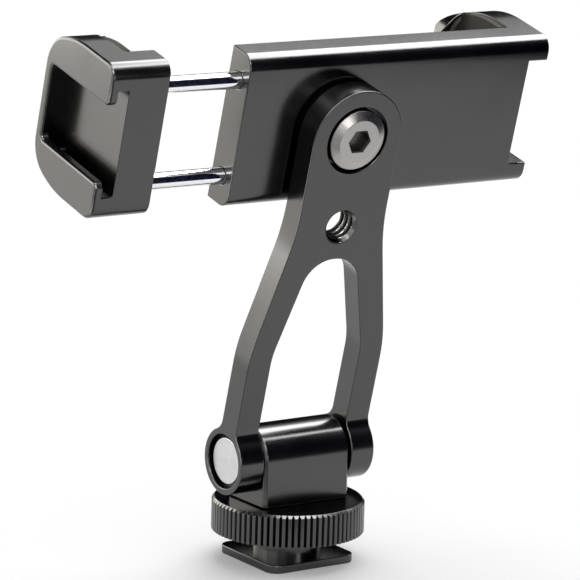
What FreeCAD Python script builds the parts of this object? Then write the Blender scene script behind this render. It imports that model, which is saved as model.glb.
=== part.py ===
import FreeCAD, Part
import math
import os

import Sketcher
from FreeCAD import Placement, Rotation, Vector

# Phone clamp on a tilting arm, with a shoe foot and a knurled locking wheel.
# Origin: centre of the foot's underside. +Z up, +X along the clamp towards its fixed jaw,
# +Y towards the side that holds the phone. Millimetres and degrees.

# Driving dimensions. The leaning parts are drawn upright about the hinge axis and then leaned.
SIZES = {
    # shoe foot, its neck and the stud above it
    "foot_width": 18.4,
    "foot_thickness": 1.5,
    "foot_corner": 2.4,
    "neck_radius": 6.2,
    "neck_length": 3.6,
    "stud_radius": 4.9,
    "stud_seat": 3.0,
    "screw_hole_radius": 3.175,
    "foot_hole_depth": 8.0,
    # knurled wheel
    "wheel_radius": 13.9,
    "wheel_thickness": 5.9,
    "wheel_edge": 0.5,
    "wheel_gap": 0.3,
    "wheel_top_gap": 0.2,
    "groove_count": 78,
    "groove_width": 0.55,
    "groove_depth": 0.55,
    # knuckle block and hinge
    "stud_cover": 2.4,
    "block_width": 18.4,
    "barrel_radius": 6.0,
    "block_edge": 0.6,
    "pin_radius": 2.6,
    "pin_screw_radius": 1.6,
    "pin_head_radius": 4.2,
    "pin_head_thickness": 1.6,
    "pin_head_sink": 0.7,
    "pin_head_gap": 0.75,
    "pin_hex": 3.0,
    "pin_hex_depth": 1.1,
    "run_gap": 0.05,
    "washer_thickness": 0.2,
    "washer_rim": 1.6,
    # tilting arm
    "lean": 14.7,
    "eye_radius": 6.1,
    "eye_gap": 0.3,
    "eye_width": 4.9,
    "eye_fillet": 3.0,
    "arm_thickness": 4.8,
    "arm_top_radius": 9.2,
    "flare_top": 45.1,
    "flare_bottom": 22.2,
    "flare_top_round": 40.0,
    "flare_bottom_round": 30.0,
    "window_top": 39.7,
    "window_slope": 14.69,
    "window_crown": 0.18,
    "window_flare": 21.5,
    "window_flare_round": 14.0,
    "window_web": 3.125,
    # pivot between arm and clamp
    "pivot_web": 7.125,
    "pivot_radius": 3.0,
    "pivot_head_radius": 5.55,
    "pivot_head_flat": 4.0,
    "pivot_head_proud": 0.7,
    "pivot_recess_gap": 0.65,
    "pivot_recess_depth": 2.6,
    "pivot_hex": 4.0,
    "pivot_hex_depth": 1.9,
    "pivot_seat": 4.6,
    "spring_washer": 0.4,
    "disc_radius": 8.0,
    "disc_thickness": 1.0,
    # clamp body with the fixed jaw
    "clamp_left": 20.9,
    "clamp_right": 43.4,
    "clamp_thickness": 6.4,
    "clamp_height": 28.4,
    "back_round": 2.6,
    "jaw_depth": 21.4,
    "taper_length": 7.6,
    "jaw_taper": 3.1,
    "jaw_round": 6.1,
    "taper_flat": 0.13,
    "fixed_jaw_wall": 5.3,
    "sliding_jaw_wall": 5.8,
    "hook_reach": 5.3,
    "hook_thickness": 3.4,
    "hook_round": 1.4,
    "hook_corner": 5.2,
    "inner_round": 0.5,
    "notch_depth": 4.0,
    "notch_rim": 4.15,
    "slot_margin": 1.85,
    # sliding jaw with the shoe slot in its outer face
    "opening": 15.9,
    "jaw_length": 11.5,
    "lip_thickness": 1.65,
    "slot_depth": 2.2,
    "slot_edge": 0.3,
    "slot_height": 19.3,
    "mouth_height": 14.0,
    "mouth_round": 1.2,
    "lip_end": 0.8,
    # guide rods
    "rod_radius": 1.5,
    "rod_edge": 5.25,
    "rod_seat": 6.4,
    "rod_land": 12.0,
    "stop_radius": 2.3,
    "stop_length": 3.0,
    "stop_gap": 0.1,
    "plug_length": 4.0,
    # rubber pads
    "pad_thickness": 1.6,
    "pad_inset": 0.3,
    "pad_lip": 1.1,
    "pad_blend": 1.0,
    "pad_gap": 0.3,
    "front_pad_inset": 3.0,
    "front_pad_round": 4.0,
    "front_pad_recess": 0.6,
}

# Roles of the three origin planes, with what their sketch axes stand for:
# plan is x = X and y = Y, front is x = X and y = Z, side is x = Y and y = Z.
PLAN = "XY_Plane"
FRONT = "XZ_Plane"
SIDE = "YZ_Plane"

# How far cutting outlines stand outside the stock.
OUTSIDE = 5.0

# How near two places must be to count as one.
NEAR = 1e-6

# Slope of the cone that a drill leaves at the end of a blind hole.
DRILL_SLOPE = math.radians(30)

# Places that several pieces share, each as an expression over the sheet.
WHEEL_BOTTOM = "(Sizes.foot_thickness + Sizes.neck_length + Sizes.wheel_gap)"
WHEEL_TOP = f"({WHEEL_BOTTOM} + Sizes.wheel_thickness)"
BLOCK_BOTTOM = f"({WHEEL_TOP} + Sizes.wheel_top_gap)"
AXIS = f"({BLOCK_BOTTOM} + Sizes.stud_seat + Sizes.stud_cover + Sizes.pin_radius + Sizes.run_gap)"
EYE_INSIDE = "(Sizes.block_width / 2 + Sizes.eye_gap)"
EYE_OUTSIDE = f"({EYE_INSIDE} + Sizes.eye_width)"
HEAD_SEAT = f"({EYE_OUTSIDE} - Sizes.pin_head_sink - Sizes.pin_head_thickness)"
ARM_HOLE = "(Sizes.window_top + Sizes.window_web + Sizes.screw_hole_radius)"
PIVOT_RECESS = "(Sizes.pivot_head_radius + Sizes.pivot_recess_gap)"
PIVOT = f"({ARM_HOLE} + Sizes.screw_hole_radius + Sizes.pivot_web + {PIVOT_RECESS})"
ARM_FACE = "(Sizes.arm_thickness / 2)"
CLAMP_BACK = f"({ARM_FACE} + Sizes.disc_thickness)"
CLAMP_FRONT = f"({CLAMP_BACK} + Sizes.clamp_thickness)"
JAW_FAR = f"({CLAMP_BACK} + Sizes.jaw_depth)"
HOOK_FACE = f"({JAW_FAR} - Sizes.hook_thickness)"
FIXED_WALL = "(Sizes.clamp_right - Sizes.fixed_jaw_wall)"
JAW_RIGHT = "(-Sizes.clamp_left - Sizes.opening)"
JAW_LEFT = f"({JAW_RIGHT} - Sizes.jaw_length)"
SLIDING_WALL = f"({JAW_LEFT} + Sizes.sliding_jaw_wall)"
ROD_LINE = f"({CLAMP_BACK} + Sizes.clamp_thickness / 2)"
ROD_OFFSET = "(Sizes.clamp_height / 2 - Sizes.rod_edge)"
LAND_END = "(Sizes.rod_land - Sizes.clamp_left)"
NOTCH_FLOOR = "(Sizes.clamp_right - Sizes.notch_depth)"

doc = FreeCAD.newDocument("phone_clamp")
sheet = doc.addObject("Spreadsheet::Sheet", "Sizes")
for row, (name, value) in enumerate(SIZES.items(), start=1):
    sheet.set(f"A{row}", name)
    sheet.set(f"B{row}", str(value))
    sheet.setAlias(f"B{row}", name)
doc.recompute()


def size(name):
    """Number that the sheet holds under a name."""
    return float(sheet.get(name))


def number(expression):
    """Number that an expression over the sheet comes to."""
    result = sheet.evalExpression(expression)
    return float(getattr(result, "Value", result))


def origin_part(body, role):
    """Plane or axis of a body's own origin, by its role."""
    for feature in body.Origin.OriginFeatures:
        if feature.Role == role:
            return feature
    raise ValueError(role)


def new_body(label, leaning=False):
    """Body for one piece; a leaning one turns with the arm about the hinge axis."""
    body = doc.addObject("PartDesign::Body", label)
    body.Label = label
    if leaning:
        body.Placement = Placement(Vector(0, 0, number(AXIS)), Rotation(Vector(1, 0, 0), size("lean")))
        body.setExpression("Placement.Base.z", AXIS)
        body.setExpression("Placement.Rotation.Angle", "Sizes.lean")
    return body


def new_sketch(body, name, plane, offset="0"):
    """Sketch on one of the body's origin planes, moved along that plane's normal."""
    sketch = body.newObject("Sketcher::SketchObject", name)
    sketch.AttachmentSupport = [(origin_part(body, plane), "")]
    sketch.MapMode = "FlatFace"
    sketch.AttachmentOffset = Placement(Vector(0, 0, number(offset)), Rotation())
    sketch.setExpression("AttachmentOffset.Base.z", offset)
    return sketch


def draw_circle(sketch, across, along, radius):
    """Circle whose centre and radius are expressions over the sheet."""
    centre = Vector(number(across), number(along), 0)
    index = sketch.addGeometry(Part.Circle(centre, Vector(0, 0, 1), number(radius)))
    for kind, expression in (("DistanceX", across), ("DistanceY", along)):
        place = sketch.addConstraint(Sketcher.Constraint(kind, -1, 1, index, 3, number(expression)))
        sketch.setExpression(f"Constraints[{place}]", expression)
    place = sketch.addConstraint(Sketcher.Constraint("Radius", index, number(radius)))
    sketch.setExpression(f"Constraints[{place}]", radius)


def draw_outline(sketch, corners):
    """Closed outline through corners (x, y, radius), each rounded by a tangent arc."""
    count = len(corners)
    ends = []
    for here in range(count):
        corner = Vector(*corners[here][:2], 0)
        radius = corners[here][2]
        before = Vector(*corners[here - 1][:2], 0) - corner
        after = Vector(*corners[(here + 1) % count][:2], 0) - corner
        before.normalize()
        after.normalize()
        half = before.getAngle(after) / 2
        reach = radius / math.tan(half)
        start = corner + before * reach
        end = corner + after * reach
        centre = corner
        if radius > 0:
            middle = before + after
            middle.normalize()
            centre = corner + middle * (radius / math.sin(half))
        ends.append((start, end, centre, radius, before.cross(after).z))
    pieces = []
    for here in range(count):
        start, end, centre, radius, turn = ends[here]
        if radius > 0:
            first, last = (start, end) if turn < 0 else (end, start)
            angles = [math.atan2(p.y - centre.y, p.x - centre.x) for p in (first, last)]
            circle = Part.Circle(centre, Vector(0, 0, 1), radius)
            index = sketch.addGeometry(Part.ArcOfCircle(circle, *angles))
            pieces.append((index, 1, 2) if turn < 0 else (index, 2, 1))
        following = ends[(here + 1) % count][0]
        if (following - end).Length > NEAR:
            index = sketch.addGeometry(Part.LineSegment(end, following))
            pieces.append((index, 1, 2))
    for one, two in zip(pieces, pieces[1:] + pieces[:1]):
        sketch.addConstraint(Sketcher.Constraint("Coincident", one[0], one[2], two[0], two[1]))


def draw_box(sketch, left, right, low, high, radius=0.0):
    """Rectangle with equal rounded corners."""
    corners = [(left, low, radius), (right, low, radius), (right, high, radius), (left, high, radius)]
    draw_outline(sketch, corners)


def extrude(body, sketch, length, symmetric=False, backwards=False):
    """Pad a sketch by an expression, along its normal, against it or both ways."""
    feature = body.newObject("PartDesign::Pad", f"{sketch.Name}_pad")
    feature.Profile = sketch
    feature.Length = number(length)
    feature.setExpression("Length", length)
    feature.SideType = "Symmetric" if symmetric else "One side"
    feature.Reversed = backwards
    doc.recompute()
    return feature


def cut(body, sketch, length=None, symmetric=False, along=False):
    """Pocket a sketch, right through or by an expression, against its normal or along it."""
    before = body.Shape.Volume
    feature = body.newObject("PartDesign::Pocket", f"{sketch.Name}_cut")
    feature.Profile = sketch
    feature.SideType = "Symmetric" if symmetric else "One side"
    feature.Reversed = along
    if length is None:
        feature.Type = "ThroughAll"
    else:
        feature.Length = number(length)
        feature.setExpression("Length", length)
    doc.recompute()
    if not body.Shape.Volume < before:
        raise RuntimeError(f"{feature.Name} cuts nothing")
    return feature


def turn(body, sketch, axis, kind="PartDesign::Revolution"):
    """Revolve a profile a full turn about an axis of its sketch."""
    feature = body.newObject(kind, f"{sketch.Name}_turned")
    feature.Profile = sketch
    feature.ReferenceAxis = (sketch, [axis])
    feature.Angle = 360.0
    doc.recompute()
    return feature


def edges_where(shape, test):
    """Names of the edges whose ends and middle all pass a test."""
    names = []
    for index, edge in enumerate(shape.Edges, start=1):
        middle = edge.valueAt((edge.FirstParameter + edge.LastParameter) / 2)
        if all(test(point) for point in [middle] + [vertex.Point for vertex in edge.Vertexes]):
            names.append(f"Edge{index}")
    return names


def chamfer(body, feature, test, length):
    """Chamfer those edges of a feature whose points pass a test in the body's own frame."""
    edge_cut = body.newObject("PartDesign::Chamfer", f"{feature.Name}_chamfer")
    edge_cut.Base = (feature, edges_where(feature.Shape, test))
    edge_cut.Size = number(length)
    edge_cut.setExpression("Size", length)
    doc.recompute()
    return edge_cut


def draw_hexagon(sketch, across, along, flats):
    """Regular hexagon about a centre, given across its flats."""
    radius = flats / math.sqrt(3)
    corners = []
    for step in range(6):
        angle = math.radians(60 * step)
        corners.append((across + radius * math.cos(angle), along + radius * math.sin(angle), 0))
    draw_outline(sketch, corners)


def make_foot():
    """Square shoe foot, its neck and the stud that carries the block, in one piece."""
    body = new_body("foot")
    half = size("foot_width") / 2
    plate = new_sketch(body, "foot_plate", PLAN)
    draw_box(plate, -half, half, -half, half, size("foot_corner"))
    extrude(body, plate, "Sizes.foot_thickness")
    neck = new_sketch(body, "neck", PLAN)
    draw_circle(neck, "0", "0", "Sizes.neck_radius")
    extrude(body, neck, "Sizes.foot_thickness + Sizes.neck_length")
    stud = new_sketch(body, "stud", PLAN)
    draw_circle(stud, "0", "0", "Sizes.stud_radius")
    extrude(body, stud, f"{BLOCK_BOTTOM} + Sizes.stud_seat")
    hole = new_sketch(body, "foot_hole", FRONT)
    radius = size("screw_hole_radius")
    depth = size("foot_hole_depth")
    tip = depth + radius * math.tan(DRILL_SLOPE)
    draw_outline(hole, [(0, -OUTSIDE, 0), (radius, -OUTSIDE, 0), (radius, depth, 0), (0, tip, 0)])
    turn(body, hole, "V_Axis", "PartDesign::Groove")
    return body


def make_wheel():
    """Locking wheel with straight knurling round its rim."""
    body = new_body("knurled_wheel")
    low = number(WHEEL_BOTTOM)
    high = number(WHEEL_TOP)
    rim = size("wheel_radius")
    edge = size("wheel_edge")
    bore = size("stud_radius") + size("run_gap")
    profile = new_sketch(body, "wheel_profile", FRONT)
    corners = [(bore, low, 0), (rim, low, 0), (rim, high - edge, 0), (rim - edge, high, 0), (bore, high, 0)]
    draw_outline(profile, corners)
    turn(body, profile, "V_Axis")
    groove = new_sketch(body, "knurl_groove", PLAN, WHEEL_TOP)
    half = size("groove_width") / 2
    root = rim - size("groove_depth")
    outer = rim + half
    spread = half * (outer - root) / size("groove_depth")
    draw_outline(groove, [(root, 0, 0), (outer, -spread, 0), (outer, spread, 0)])
    knurl = cut(body, groove)
    pattern = body.newObject("PartDesign::PolarPattern", "knurling")
    pattern.Originals = [knurl]
    pattern.Axis = (groove, ["N_Axis"])
    pattern.Angle = 360.0
    pattern.Occurrences = int(size("groove_count"))
    pattern.setExpression("Occurrences", "Sizes.groove_count")
    body.Tip = pattern
    doc.recompute()
    return body


def make_block():
    """Knuckle block: a round barrel on the hinge axis over flat front and back faces."""
    body = new_body("base_block")
    radius = size("barrel_radius")
    axis = number(AXIS)
    low = number(BLOCK_BOTTOM)
    profile = new_sketch(body, "block_profile", SIDE)
    top = axis + radius
    draw_outline(profile, [(-radius, low, 0), (radius, low, 0), (radius, top, radius),
                           (-radius, top, radius)])
    pad = extrude(body, profile, "Sizes.block_width", symmetric=True)
    side = size("block_width") / 2
    bottom = edges_where(pad.Shape, lambda p: p.z < low + NEAR)
    bevel = chamfer(body, pad, lambda p: abs(abs(p.x) - side) < NEAR, "Sizes.block_edge")
    bevel.Base = (pad, [name for name in bevel.Base[1] if name not in bottom])
    bore = new_sketch(body, "hinge_bore", SIDE)
    draw_circle(bore, "0", AXIS, "Sizes.pin_radius + Sizes.run_gap")
    cut(body, bore, symmetric=True)
    seat = new_sketch(body, "stud_seat", PLAN, BLOCK_BOTTOM)
    draw_circle(seat, "0", "0", "Sizes.stud_radius")
    cut(body, seat, "Sizes.stud_seat", along=True)
    return body


def make_hinge_washer(label, side):
    """Thin washer between the block and one eye, seated on the eye."""
    body = new_body(label, leaning=True)
    start = EYE_INSIDE if side > 0 else f"-{EYE_INSIDE}"
    ring = new_sketch(body, f"{label}_ring", SIDE, start)
    draw_circle(ring, "0", "0", "Sizes.pin_radius + Sizes.run_gap + Sizes.washer_rim")
    draw_circle(ring, "0", "0", "Sizes.pin_radius + Sizes.run_gap")
    extrude(body, ring, "Sizes.washer_thickness", backwards=side > 0)
    return body


def arm_side_outline():
    """Side view of the arm: a strip that runs down into the round eye with hollow necks."""
    face = number(ARM_FACE)
    radius = size("eye_radius")
    blend = size("eye_fillet")
    # The neck's arc touches the strip's face and the eye's circle.
    centre_y = face + blend
    centre_z = math.sqrt((radius + blend) ** 2 - centre_y ** 2)
    touch_y = radius * centre_y / (radius + blend)
    touch_z = radius * centre_z / (radius + blend)
    return face, radius, blend, centre_y, centre_z, touch_y, touch_z


def draw_arm_side(sketch, top):
    """Keyhole outline of the arm's side view, up to a height."""
    face, radius, blend, centre_y, centre_z, touch_y, touch_z = arm_side_outline()
    toward_eye = math.atan2(touch_z - centre_z, touch_y - centre_y)
    right_neck = Part.Circle(Vector(centre_y, centre_z, 0), Vector(0, 0, 1), blend)
    left_neck = Part.Circle(Vector(-centre_y, centre_z, 0), Vector(0, 0, 1), blend)
    eye = Part.Circle(Vector(0, 0, 0), Vector(0, 0, 1), radius)
    eye_start = math.atan2(touch_z, touch_y)
    pieces = [
        Part.LineSegment(Vector(-face, top, 0), Vector(-face, centre_z, 0)),
        Part.ArcOfCircle(left_neck, -math.pi - toward_eye, 0),
        Part.ArcOfCircle(eye, math.pi - eye_start, 2 * math.pi + eye_start),
        Part.ArcOfCircle(right_neck, math.pi, 2 * math.pi + toward_eye),
        Part.LineSegment(Vector(face, centre_z, 0), Vector(face, top, 0)),
        Part.LineSegment(Vector(face, top, 0), Vector(-face, top, 0)),
    ]
    for piece in pieces:
        sketch.addGeometry(piece)


def make_arm():
    """Arm in one piece: round top, two legs about an arched window, and an eye on each leg."""
    body = new_body("arm", leaning=True)
    outside = number(EYE_OUTSIDE)
    inside = number(EYE_INSIDE)
    top_radius = size("arm_top_radius")
    pivot = number(PIVOT)
    top = pivot + top_radius
    foot = -size("eye_radius") - OUTSIDE
    side = new_sketch(body, "arm_side", SIDE)
    draw_arm_side(side, top + OUTSIDE)
    extrude(body, side, f"2 * {EYE_OUTSIDE}", symmetric=True)
    # The front view is cut out of the strip: everything outside the arm's outline goes.
    front = new_sketch(body, "arm_front", FRONT)
    wide = outside + OUTSIDE
    draw_box(front, -wide, wide, foot - OUTSIDE, top + 2 * OUTSIDE)
    upper = size("flare_top")
    lower = size("flare_bottom")
    upper_round = size("flare_top_round")
    lower_round = size("flare_bottom_round")
    window_low = size("window_flare")
    window_low_round = size("window_flare_round")
    window_top = size("window_top")
    # The legs lean in at one slope, and the arch's two rounds leave a short crown between them.
    slope = math.radians(size("window_slope"))
    window_half = inside - (window_top - window_low) * math.tan(slope)
    window_round = (window_half - size("window_crown")) / math.tan((math.pi / 2 - slope) / 2)
    right = [
        (inside, foot, 0), (outside, foot, 0), (outside, lower, lower_round),
        (top_radius, upper, upper_round), (top_radius, top, top_radius),
    ]
    left = [(-x, z, radius) for x, z, radius in reversed(right)]
    window = [
        (-inside, window_low, window_low_round), (-window_half, window_top, window_round),
        (window_half, window_top, window_round), (inside, window_low, window_low_round),
    ]
    draw_outline(front, right + left + window)
    cut(body, front, symmetric=True)
    threaded = new_sketch(body, "arm_hole", FRONT)
    draw_circle(threaded, "0", ARM_HOLE, "Sizes.screw_hole_radius")
    cut(body, threaded, symmetric=True)
    pivot_bore = new_sketch(body, "pivot_bore", FRONT)
    draw_circle(pivot_bore, "0", PIVOT, "Sizes.pivot_radius + Sizes.run_gap")
    cut(body, pivot_bore, symmetric=True)
    recess = new_sketch(body, "pivot_recess", FRONT, ARM_FACE)
    draw_circle(recess, "0", PIVOT, PIVOT_RECESS)
    cut(body, recess, "Sizes.pivot_recess_depth")
    hinge = new_sketch(body, "eye_bore", SIDE)
    draw_circle(hinge, "0", "0", "Sizes.pin_radius + Sizes.run_gap")
    cut(body, hinge, symmetric=True)
    recesses = (("right_recess", EYE_OUTSIDE, False), ("left_recess", f"-{EYE_OUTSIDE}", True))
    for name, start, along in recesses:
        sink = new_sketch(body, name, SIDE, start)
        draw_circle(sink, "0", "0", "Sizes.pin_head_radius + Sizes.pin_head_gap")
        cut(body, sink, "Sizes.pin_head_sink + Sizes.pin_head_thickness", along=along)
    return body


def make_hinge_pin():
    """Barrel nut of the hinge: a round head in the left eye and a shaft through to the right one."""
    body = new_body("hinge_pin", leaning=True)
    seat = number(HEAD_SEAT)
    head = new_sketch(body, "pin_profile", PLAN)
    shaft = size("pin_radius")
    rim = size("pin_head_radius")
    inner = size("pin_screw_radius") + size("run_gap")
    left = -seat - size("pin_head_thickness")
    right = seat - size("stop_gap")
    draw_outline(head, [(left, 0, 0), (left, rim, 0), (-seat, rim, 0), (-seat, shaft, 0),
                        (right, shaft, 0), (right, inner, 0), (0, inner, 0), (0, 0, 0)])
    turn(body, head, "H_Axis")
    return body


def make_hinge_screw():
    """Screw that closes the hinge from the right, with a socket for a key in its head."""
    body = new_body("hinge_screw", leaning=True)
    seat = number(HEAD_SEAT)
    profile = new_sketch(body, "hinge_screw_profile", PLAN)
    rim = size("pin_head_radius")
    shank = size("pin_screw_radius")
    right = seat + size("pin_head_thickness")
    tip = size("stop_gap")
    draw_outline(profile, [(tip, 0, 0), (tip, shank, 0), (seat, shank, 0), (seat, rim, 0),
                           (right, rim, 0), (right, 0, 0)])
    turn(body, profile, "H_Axis")
    socket = new_sketch(body, "hinge_screw_socket", SIDE, f"{HEAD_SEAT} + Sizes.pin_head_thickness")
    draw_hexagon(socket, 0, 0, size("pin_hex"))
    cut(body, socket, "Sizes.pin_hex_depth")
    return body


def make_pivot_screw():
    """Screw that the clamp turns on, its bevelled head standing proud of the arm."""
    body = new_body("pivot_screw", leaning=True)
    face = number(ARM_FACE)
    under = face - size("pivot_recess_depth") + size("spring_washer")
    proud = face + size("pivot_head_proud")
    rim = size("pivot_head_radius")
    flat = size("pivot_head_flat")
    shank = size("pivot_radius")
    tip = -number(CLAMP_BACK) - size("pivot_seat")
    pivot = number(PIVOT)
    # Drawn in the side view, with the screw's axis along the sketch's x at the pivot's height.
    profile = new_sketch(body, "pivot_screw_profile", SIDE)
    index = profile.addGeometry(Part.LineSegment(Vector(-proud, pivot, 0), Vector(-tip, pivot, 0)), True)
    draw_outline(profile, [(-proud, pivot, 0), (-proud, pivot + flat, 0), (-face, pivot + rim, 0),
                           (-under, pivot + rim, 0), (-under, pivot + shank, 0), (-tip, pivot + shank, 0),
                           (-tip, pivot, 0)])
    turn(body, profile, "Axis0")
    socket = new_sketch(body, "pivot_screw_socket", FRONT, f"{ARM_FACE} + Sizes.pivot_head_proud")
    draw_hexagon(socket, 0, pivot, size("pivot_hex"))
    cut(body, socket, "Sizes.pivot_hex_depth")
    return body


def make_ring(label, name, start, outer, inner, length, backwards):
    """Flat ring about the pivot, between two expressions across."""
    body = new_body(label, leaning=True)
    ring = new_sketch(body, name, FRONT, start)
    draw_circle(ring, "0", PIVOT, outer)
    draw_circle(ring, "0", PIVOT, inner)
    extrude(body, ring, length, backwards=backwards)
    return body


def jaw_outline(inset=0.0):
    """Side view of the clamp and its jaws, level and then narrowing, drawn smaller by an inset."""
    back = number(CLAMP_BACK) + inset
    far = number(JAW_FAR) - inset
    middle = number(PIVOT)
    half = size("clamp_height") / 2 - inset
    length = size("taper_length")
    lean = math.atan2(size("jaw_taper"), length)
    level = number(JAW_FAR) - length - inset * math.tan(lean / 2)
    narrow = half - math.tan(lean) * (far - level)
    # The two rounds of the taper leave a short straight stretch between them.
    sloped = math.hypot(size("jaw_taper"), length)
    room = sloped - size("taper_flat") - size("jaw_round") * math.tan((math.pi / 2 - lean) / 2)
    taper_round = room / math.tan(lean / 2)
    upper = [
        (back, half, size("back_round") - inset), (level, half, taper_round - inset),
        (far, narrow, size("jaw_round") - inset),
    ]
    corners = [(y, middle + z, radius) for y, z, radius in upper]
    corners += [(y, middle - z, radius) for y, z, radius in reversed(upper)]
    return corners


def trim_to_side_view(body, name, inset=0.0):
    """Cut away all that stands outside the clamp's side view, drawn smaller by an inset."""
    side = new_sketch(body, name, SIDE)
    middle = number(PIVOT)
    reach = size("clamp_height") / 2 + OUTSIDE
    draw_box(side, number(CLAMP_BACK) - OUTSIDE, number(JAW_FAR) + OUTSIDE, middle - reach, middle + reach)
    draw_outline(side, jaw_outline(inset))
    return cut(body, side, symmetric=True)


def jaw_plan(outer, wall, plate_end, toward):
    """Plan view of a jaw: plate, wall and hook. toward is the way that the hook points along X."""
    back = number(CLAMP_BACK)
    front = number(CLAMP_FRONT)
    far = number(JAW_FAR)
    hook = number(HOOK_FACE)
    corner = size("hook_round")
    tip = wall + toward * size("hook_reach")
    blend = size("inner_round")
    return [
        (outer, back, 0), (plate_end, back, 0), (plate_end, front, 0), (wall, front, blend),
        (wall, hook, 0), (tip, hook, corner), (tip, far, corner), (outer, far, 0),
    ]


def cut_hook_corners(body, name, start, length, tip, toward, half, radius):
    """Round the two free corners of a hook, as seen from the front, over a length along Y.

    The hook points the way of toward along X, with its free edge at x = tip and its corners at half
    above and below the pivot.
    """
    corners = new_sketch(body, name, FRONT, f"-{start}")
    middle = number(PIVOT)
    for side in (1, -1):
        root = tip - toward * radius
        outer = tip + toward * OUTSIDE
        high = middle + side * half
        above = high + side * OUTSIDE
        low = high - side * radius
        draw_outline(corners, [(root, above, 0), (root, high, 0), (tip, high, radius), (tip, low, 0),
                               (outer, low, 0), (outer, above, 0)])
    return cut(body, corners, length)


def hook_half():
    """Half height of the taper at the inner face of the hooks."""
    share = 1 - size("hook_thickness") / size("taper_length")
    return size("clamp_height") / 2 - size("jaw_taper") * share


def make_clamp_body():
    """Clamp plate and fixed jaw in one piece, with the rods' bores and the notch in its end."""
    body = new_body("clamp_body", leaning=True)
    plan = new_sketch(body, "clamp_plan", PLAN, PIVOT)
    draw_outline(plan, jaw_plan(size("clamp_right"), number(FIXED_WALL), -size("clamp_left"), -1))
    extrude(body, plan, "Sizes.clamp_height + 1", symmetric=True)
    trim_to_side_view(body, "clamp_side")
    cut_hook_corners(body, "fixed_hook_corners", HOOK_FACE, "Sizes.hook_thickness",
                     number(FIXED_WALL) - size("hook_reach"), -1, hook_half(), size("hook_corner"))
    notch = new_sketch(body, "end_notch", SIDE, "Sizes.clamp_right")
    half = size("clamp_height") / 2 - size("notch_rim")
    middle = number(PIVOT)
    far = number(JAW_FAR) - size("slot_margin")
    draw_notch(notch, far, middle, half)
    cut(body, notch, "Sizes.notch_depth")
    land = new_sketch(body, "rod_lands", SIDE, "-Sizes.clamp_left")
    chamber = new_sketch(body, "rod_chambers", SIDE, LAND_END)
    for side in ("+", "-"):
        height = f"{PIVOT} {side} {ROD_OFFSET}"
        draw_circle(land, ROD_LINE, height, "Sizes.rod_radius + Sizes.run_gap")
        draw_circle(chamber, ROD_LINE, height, "Sizes.stop_radius + Sizes.stop_gap")
    cut(body, land, "Sizes.rod_land", along=True)
    cut(body, chamber, f"{NOTCH_FLOOR} - {LAND_END}", along=True)
    screw = new_sketch(body, "pivot_seat", FRONT, f"-{CLAMP_BACK}")
    draw_circle(screw, "0", PIVOT, "Sizes.pivot_radius")
    cut(body, screw, "Sizes.pivot_seat")
    recess = new_sketch(body, "pad_recess", FRONT, f"-{CLAMP_FRONT}")
    draw_front_pad(recess, 0.0)
    cut(body, recess, "Sizes.front_pad_recess", along=True)
    return body


def draw_notch(sketch, far, middle, half, flare=0.0):
    """Outline of a recess that opens on the clamp's back face, with round far corners."""
    back = number(CLAMP_BACK)
    corner = size("mouth_round")
    upper = [(far, half, corner), (back + flare, half, flare), (back, half + flare, 0)]
    if flare == 0:
        upper = upper[:1]
    upper.append((back - OUTSIDE, half + flare, 0))
    corners = [(y, middle + z, radius) for y, z, radius in upper]
    corners += [(y, middle - z, radius) for y, z, radius in reversed(upper)]
    draw_outline(sketch, corners)


def draw_front_pad(sketch, play):
    """Rounded outline of the pad on the clamp's front, drawn smaller by a play."""
    inset = size("front_pad_inset")
    left = -size("clamp_left") + inset + play
    right = number(FIXED_WALL) - inset - play
    half = size("clamp_height") / 2 - inset - play
    middle = number(PIVOT)
    draw_box(sketch, left, right, middle - half, middle + half, size("front_pad_round") - play)


def make_front_pad():
    """Rubber pad that the phone's back lies on, set in a shallow recess."""
    body = new_body("front_pad", leaning=True)
    floor = f"(-{CLAMP_FRONT} + Sizes.front_pad_recess)"
    face = new_sketch(body, "front_pad_face", FRONT, floor)
    draw_front_pad(face, size("stop_gap"))
    extrude(body, face, "Sizes.pad_thickness", backwards=True)
    return body


def make_jaw_pad(label, wall_place, toward):
    """Rubber pad that lines a jaw: it lies on the inner wall and turns in under the hook."""
    body = new_body(label, leaning=True)
    wall = number(wall_place)
    thick = toward * size("pad_thickness")
    back = number(CLAMP_FRONT) + size("inner_round") + size("pad_gap")
    hook = number(HOOK_FACE)
    lip = hook - size("pad_lip")
    tip = wall + toward * (size("hook_reach") - size("hook_round"))
    plan = new_sketch(body, f"{label}_plan", PLAN, PIVOT)
    draw_outline(plan, [(wall, back, 0), (wall + thick, back, 0), (wall + thick, lip, size("pad_blend")),
                        (tip, lip, 0), (tip, hook, 0), (wall, hook, 0)])
    extrude(body, plan, "Sizes.clamp_height", symmetric=True)
    trim_to_side_view(body, f"{label}_side", size("pad_inset"))
    cut_hook_corners(body, f"{label}_corners", f"({HOOK_FACE} - Sizes.pad_lip)", "Sizes.pad_lip",
                     tip, toward, hook_half() - size("pad_inset"), size("hook_corner") - size("hook_round"))
    return body


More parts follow.
